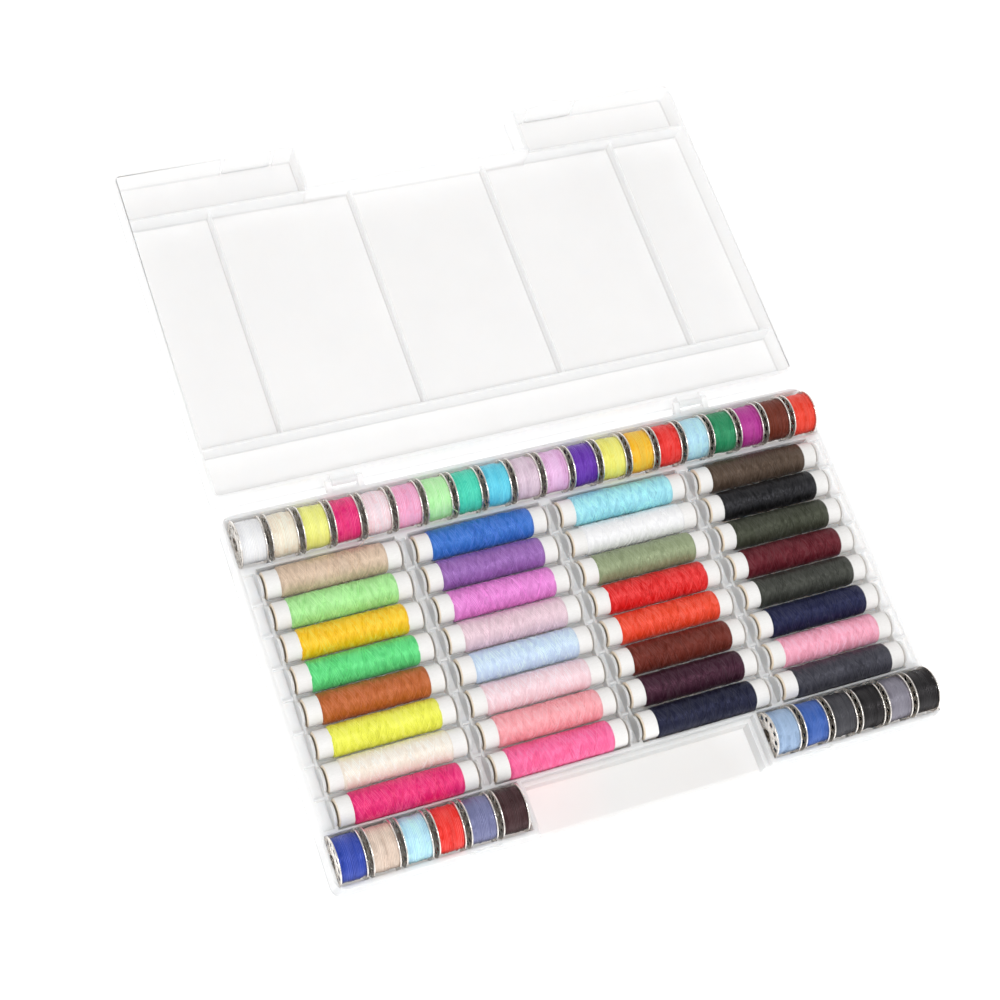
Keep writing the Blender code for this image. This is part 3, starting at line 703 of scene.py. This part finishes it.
def make_light():
    """A soft dome, brightest at the horizon, and one soft key light over the front."""
    world = bpy.data.worlds.new("studio")
    world.use_nodes = True
    tree = world.node_tree
    backdrop = tree.nodes["Background"]
    backdrop.inputs["Color"].default_value = (1.0, 0.995, 0.99, 1.0)
    direction = tree.nodes.new("ShaderNodeTexCoord").outputs["Generated"]
    upward = add(tree, "ShaderNodeSeparateXYZ", {"Vector": direction}).outputs["Z"]
    tree.links.new(spread(tree, upward, 0.0, 1.0, 1.04, 0.36), backdrop.inputs["Strength"])
    bpy.context.scene.world = world
    area_light("key", (-0.10, -0.62, 1.25), (0, 0, 0), 0.42, 9.6)
    bpy.context.scene.view_settings.view_transform = "Standard"


def make_floor():
    mesh = bpy.data.meshes.new("floor")
    reach, drop = 3.0, 0.05 * MM
    corners = [(-reach, -reach, -drop), (reach, -reach, -drop),
               (reach, reach, -drop), (-reach, reach, -drop)]
    mesh.from_pydata(corners, [], [(0, 1, 2, 3)])
    look, tree, shader = new_material("pale_floor")
    tone = noise(tree, object_point(tree), 3.0)
    mixed = blended(tree, tone, (0.29, 0.29, 0.29), (0.31, 0.31, 0.31))
    tree.links.new(mixed, shader.inputs["Base Color"])
    shader.inputs["Roughness"].default_value = 0.8
    shader.inputs["Emission Color"].default_value = (1.0, 1.0, 1.0, 1.0)
    shader.inputs["Emission Strength"].default_value = 1.05
    mesh.materials.append(look)
    floor = bpy.data.objects.new("floor", mesh)
    bpy.context.scene.collection.objects.link(floor)


# ---- the whole object ------------------------------------------------------------------------
def make_case():
    for node, name, width in (("base_tray", "tray_moulding", 0.25 * MM),
                              ("lid", "lid_moulding", 0.25 * MM),
                              ("latch_tab_left", "latch_left_moulding", 0.15 * MM),
                              ("latch_tab_right", "latch_right_moulding", 0.15 * MM)):
        rounded_copy(node, name, width)
    make_hinge_web("hinge_web_left", -HINGE_X)
    make_hinge_web("hinge_web_right", HINGE_X)


def make_back_bobbins():
    for number, (name, colour) in enumerate(BOBBIN_THREADS.items()):
        node = f"bobbin_{name}"
        middle, half = middle_and_half(*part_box(node))
        made = make_bobbin(f"wound_{node}", node, node, middle,
                           max(half.y, half.z), colour, 200 + number)


def make_front_bobbins():
    """Three bobbins in the place of each node, which holds them joined by their hubs."""
    for group_number, (group, threads) in enumerate(FRONT_BOBBINS.items()):
        middle, half = middle_and_half(*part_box(group))
        for number, (name, colour) in enumerate(threads):
            place = middle + Vector(((number - 1) * BOBBIN_PITCH, 0, 0))
            seed = 300 + 10 * group_number + number
            made = make_bobbin(f"wound_front_bobbin_{name}", group, group, place,
                               max(half.y, half.z), colour, seed)


FROSTED = frosted_plastic("frosted_polypropylene")
WHITE_PAPER = paper("white_paper", (0.88, 0.87, 0.86), (0.80, 0.79, 0.77))
# kraft painted much lighter than real kraft: painted light for its end faces, which sit in shade
KRAFT = paper("kraft_board", (0.93, 0.82, 0.67), (0.86, 0.72, 0.55))
NICKEL = nickel("nickel")

make_camera()
make_light()
make_floor()
make_case()
for spool_number, (spool_name, spool_colour) in enumerate(SPOOL_THREADS.items()):
    make_spool(spool_name, spool_colour, 100 + spool_number)
make_back_bobbins()
make_front_bobbins()
